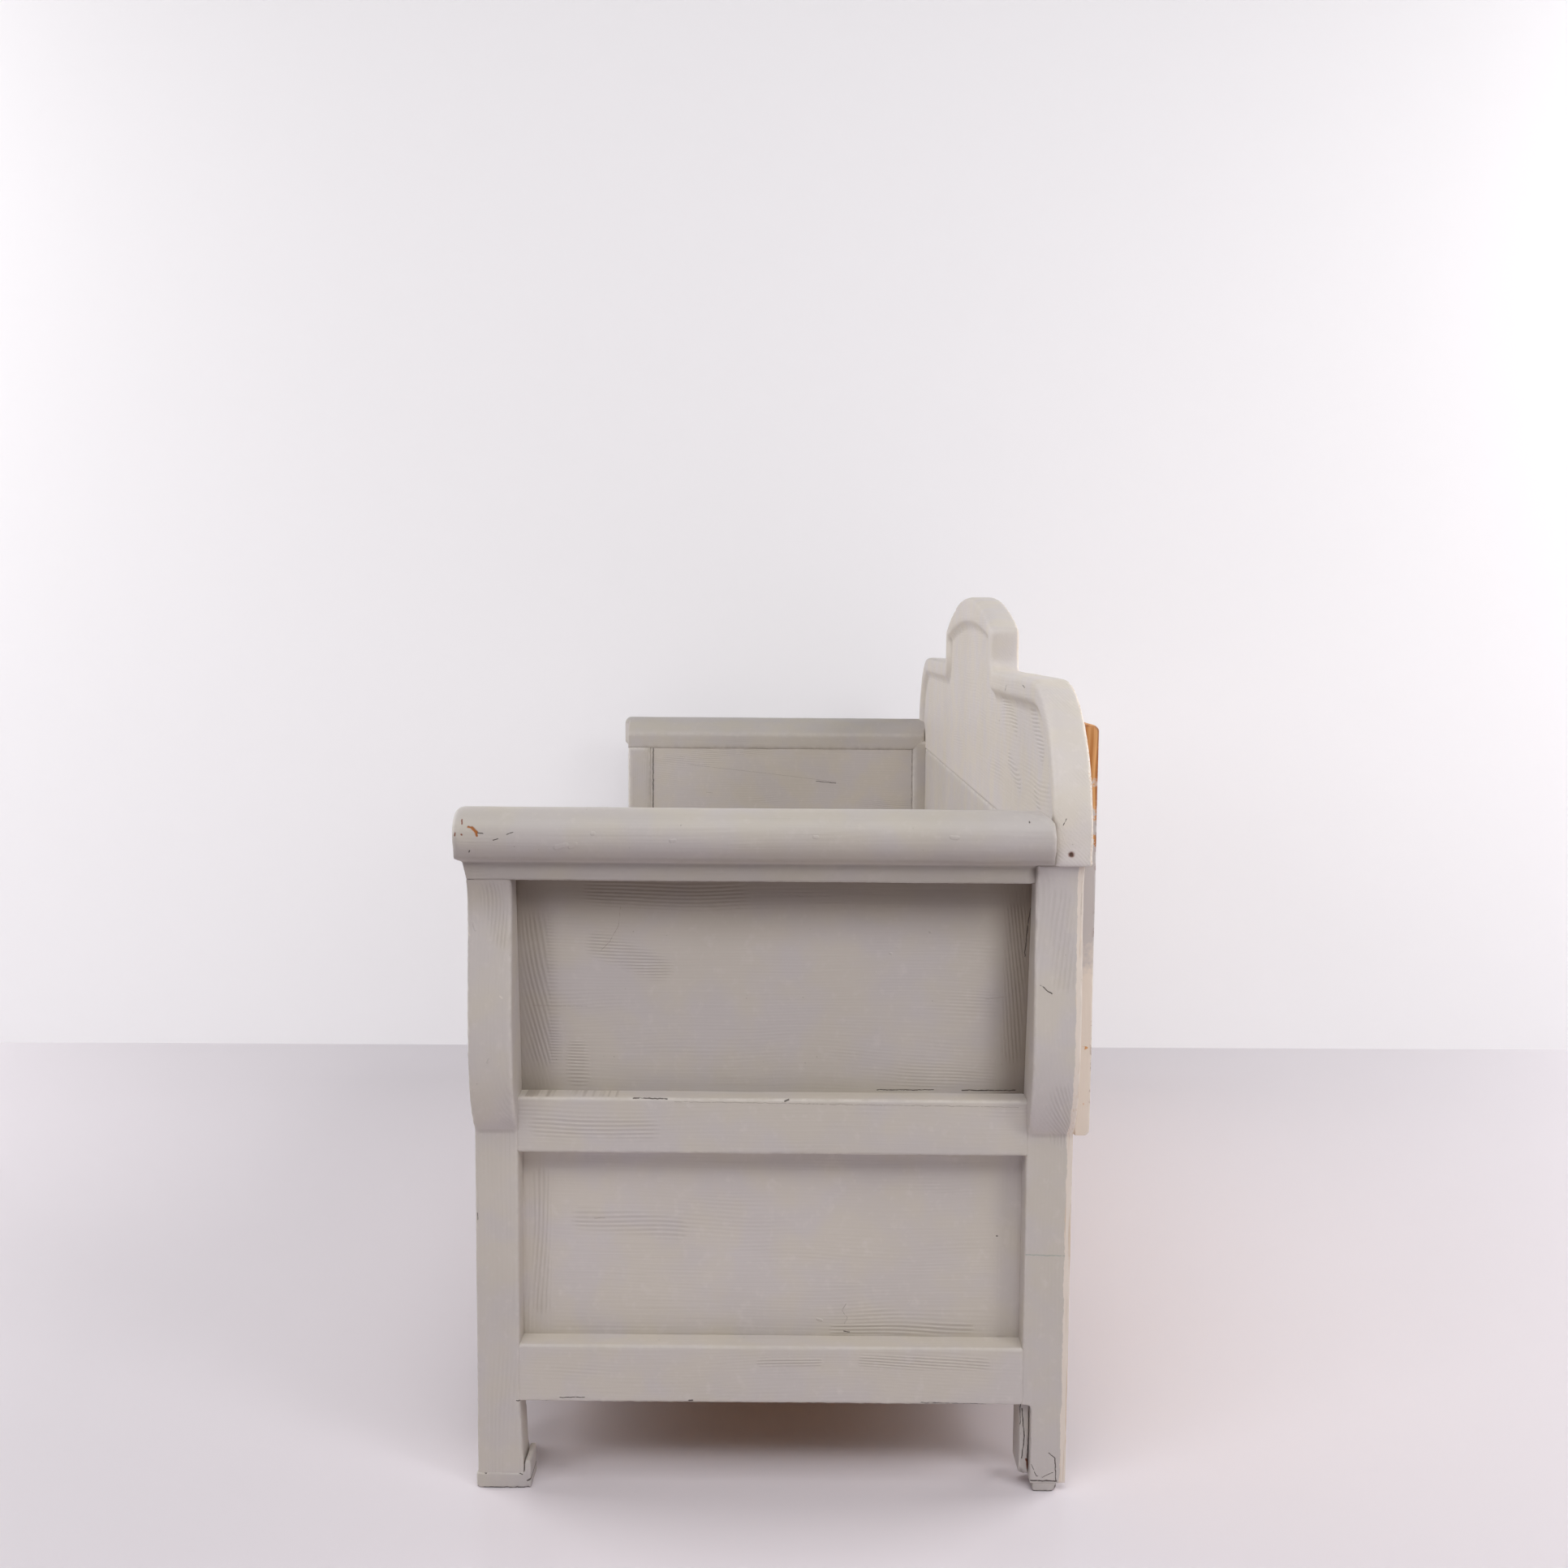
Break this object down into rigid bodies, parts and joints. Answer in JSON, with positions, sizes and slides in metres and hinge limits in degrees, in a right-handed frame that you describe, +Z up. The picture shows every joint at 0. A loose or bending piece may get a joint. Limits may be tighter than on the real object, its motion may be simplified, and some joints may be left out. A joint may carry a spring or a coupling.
{
  "type": "pull-out bench bed",
  "caption": "Painted wooden settle with framed ends, rolled arms and an arched back; the seat lid hinges up and a slatted bed frame slides out of the front on its own legs.",
  "frame": {"origin": "on the floor under the middle of the whole piece", "axes": "+X along the bench to the right end as seen from the front, +Y to the back, +Z up; the front faces -Y"},
  "size_m": [1.841, 0.661, 0.9628],
  "materials": {
    "painted_pine": "thick warm grey satin paint, brushed by hand over pine, with the grain showing through",
    "raw_pine": "unpainted old pine, planed, darkened with age",
    "amber_pine": "unpainted amber-coloured pine, planed",
    "wrought_iron": "dark wrought iron, lightly rusted"
  },
  "bodies": {
    "bench_frame": {"back_batten_left": "amber_pine", "back_batten_middle": "amber_pine", "back_batten_right": "amber_pine", "back_crest_board": "painted_pine", "back_lower_board": "painted_pine", "batten_nails": "wrought_iron", "box_back_board": "raw_pine", "fixed_slats": "raw_pine", "front_cross_rail": "raw_pine", "hinge_leaves_fixed": "wrought_iron", "hinge_pins": "wrought_iron", "left_arm_rail": "painted_pine", "left_bed_runner": "raw_pine", "left_front_foot_shoe": "painted_pine", "left_front_stile": "painted_pine", "left_lower_panel": "painted_pine", "left_lower_rail": "painted_pine", "left_mid_rail": "painted_pine", "left_rear_corner_block": "painted_pine", "left_rear_foot_pad": "painted_pine", "left_rear_stile": "painted_pine", "left_seat_cleat": "raw_pine", "left_upper_panel": "painted_pine", "rear_bottom_rail": "raw_pine", "rear_ledger": "raw_pine", "rear_seat_board": "painted_pine", "right_arm_rail": "painted_pine", "right_bed_runner": "raw_pine", "right_front_foot_shoe": "painted_pine", "right_front_stile": "painted_pine", "right_lower_panel": "painted_pine", "right_lower_rail": "painted_pine", "right_mid_rail": "painted_pine", "right_rear_corner_block": "painted_pine", "right_rear_foot_pad": "painted_pine", "right_rear_stile": "painted_pine", "right_seat_cleat": "raw_pine", "right_upper_panel": "painted_pine", "seat_back_rail": "raw_pine"},
    "pull_out_bed": {"bed_front_bottom_rail": "painted_pine", "bed_front_ledger": "raw_pine", "bed_front_muntin_1": "painted_pine", "bed_front_muntin_2": "painted_pine", "bed_front_panel_1": "painted_pine", "bed_front_panel_2": "painted_pine", "bed_front_panel_3": "painted_pine", "bed_front_top_rail": "painted_pine", "bed_rear_crossbar": "raw_pine", "left_bed_front_stile": "painted_pine", "left_bed_side_board": "raw_pine", "right_bed_front_stile": "painted_pine", "right_bed_side_board": "raw_pine", "sliding_slats": "raw_pine"},
    "seat_lid": {"hinge_leaves_lid": "wrought_iron", "lid_cleats": "raw_pine", "lid_front_plank": "painted_pine", "lid_rear_plank": "painted_pine"}
  },
  "joints": [
    {"name": "bed_slide", "type": "slide", "parent": "bench_frame", "child": "pull_out_bed", "axis": [0, -1, 0], "range_m": [0, 0.42]},
    {"name": "lid_hinge", "type": "hinge", "parent": "bench_frame", "child": "seat_lid", "pos_m": [0, 0.215, 0.4498], "axis": [-1, 0, 0], "range_deg": [0, 96]}
  ]
}
